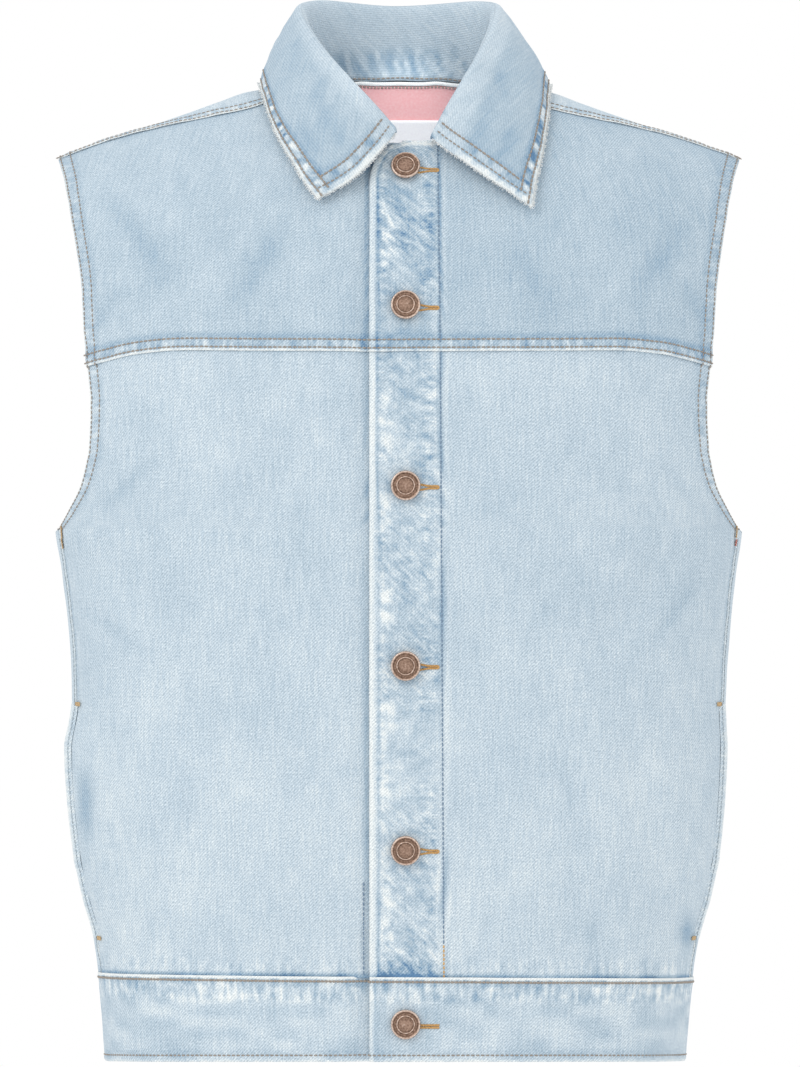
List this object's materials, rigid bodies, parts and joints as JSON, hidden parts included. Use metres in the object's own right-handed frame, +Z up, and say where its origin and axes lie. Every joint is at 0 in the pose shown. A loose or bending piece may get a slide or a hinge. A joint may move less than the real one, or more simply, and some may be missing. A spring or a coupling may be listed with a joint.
{
  "type": "denim vest",
  "caption": "Sleeveless denim vest, filled out as worn, with a frayed fold-over collar, buttoned yoke front, side pockets and a waistband.",
  "frame": {"origin": "centre of the neck at the height where the shoulders begin, where a wearer's shoulders carry the vest", "axes": "+Z up, the front faces -Y, +X is the wearer's left side"},
  "size_m": [0.4248, 0.2315, 0.6646],
  "materials": {
    "denim": "light stonewashed cotton twill, worn pale along its seams",
    "denim_yoke": "light stonewashed cotton twill, slightly bluer",
    "denim_edge": "worn white edge of washed denim",
    "cotton_pink": "plain woven cotton, matt",
    "tape_white": "woven satin tape, soft sheen",
    "copper": "antiqued copper plate on brass, rubbed bright on its rings"
  },
  "bodies": {
    "root": {"front_yoke_left": "denim_yoke", "front_yoke_right": "denim_yoke", "front_panel_left": "denim", "front_panel_right": "denim", "back_panel": "denim", "waistband": "denim", "collar": "denim_yoke", "pocket_welt_left": "denim_edge", "pocket_welt_right": "denim_edge", "back_neck_facing": "cotton_pink", "neck_label": "tape_white", "button_1": "copper", "button_2": "copper", "button_3": "copper", "button_4": "copper", "button_5": "copper", "button_6": "copper"}
  },
  "joints": []
}
